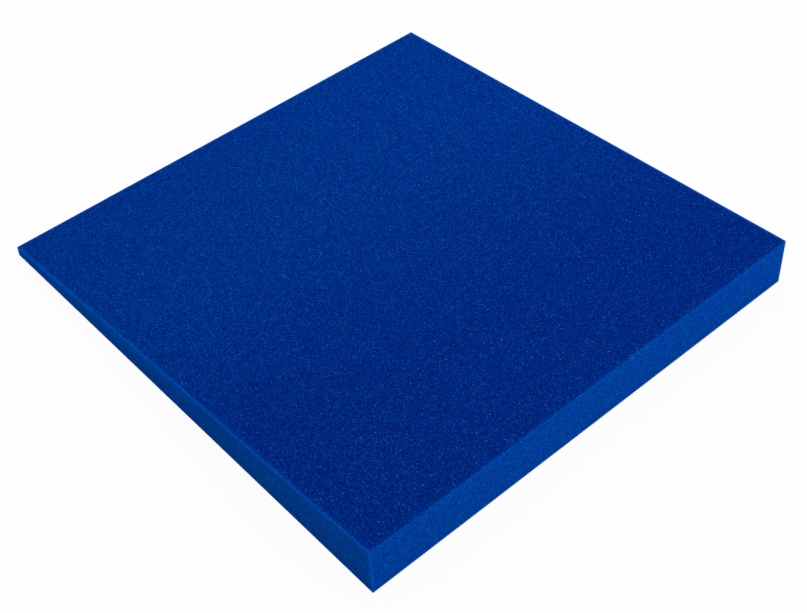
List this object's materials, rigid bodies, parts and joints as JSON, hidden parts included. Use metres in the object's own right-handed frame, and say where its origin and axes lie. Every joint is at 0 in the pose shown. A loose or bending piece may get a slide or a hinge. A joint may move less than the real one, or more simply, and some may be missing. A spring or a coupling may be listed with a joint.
{
  "type": "acoustic foam wedge panel",
  "caption": "Square tile of blue open-cell foam cut as a shallow wedge, flat all over, thick at one end and thin at the other, with plain crisp edges.",
  "frame": {"origin": "middle of the flat back face, which rests on z = 0", "axes": "+Z out of the back face towards the front face, +Y down the taper from the thick end to the thin end, +X along the thick end's edge, to the right of someone who looks from the thick end"},
  "size_m": [0.5, 0.5022, 0.0498],
  "materials": {
    "foam": "matte"
  },
  "bodies": {
    "root": {"foam_panel": "foam"}
  },
  "joints": []
}
